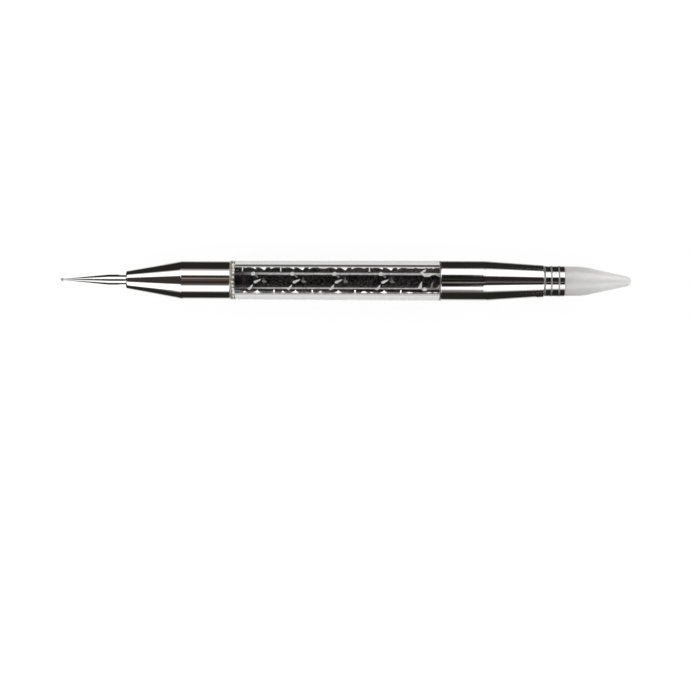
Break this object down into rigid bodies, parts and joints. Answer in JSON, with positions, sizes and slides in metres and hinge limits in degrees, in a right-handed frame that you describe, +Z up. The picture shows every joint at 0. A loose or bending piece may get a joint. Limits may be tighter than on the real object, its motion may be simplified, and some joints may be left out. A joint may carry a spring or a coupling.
{
  "type": "nail dotting tool",
  "caption": "Double-ended nail art pen: steel ball needle at one end, soft picking tip at the other, clear handle filled with black crystals.",
  "frame": {"origin": "midway along the tool, on the surface that it lies on", "axes": "+X along the tool from the dotting needle to the soft tip, +Z up"},
  "size_m": [0.1598, 0.0114, 0.0114],
  "materials": {
    "needle_steel": "polished steel with fine turning lines",
    "chrome": "bright chrome plate on turned brass",
    "joint_ring": "pale cream, slightly chipped",
    "grey_ring": "smooth grey plastic",
    "clear_acrylic": "polished clear acrylic",
    "stopper_plastic": "plain moulded",
    "black_crystal": "black, gloss facets with silvered cuts",
    "bush_brass": "turned",
    "soft_tip": "milky, satin"
  },
  "bodies": {
    "handle": {"dotting_needle": "needle_steel", "front_ferrule": "chrome", "front_joint_ring": "joint_ring", "handle_tube": "clear_acrylic", "front_stopper": "stopper_plastic", "crystal_1": "black_crystal", "crystal_2": "black_crystal", "crystal_3": "black_crystal", "crystal_4": "black_crystal", "crystal_5": "black_crystal", "crystal_6": "black_crystal", "rear_stopper": "stopper_plastic", "rear_joint_ring": "grey_ring", "rear_ferrule": "chrome", "stem_bush": "bush_brass"},
    "tip": {"tip_collar": "chrome", "soft_tip": "soft_tip"}
  },
  "joints": [
    {"name": "tip_unscrew", "type": "slide", "parent": "handle", "child": "tip", "axis": [1, 0, 0], "range_m": [0, 0.01]}
  ]
}
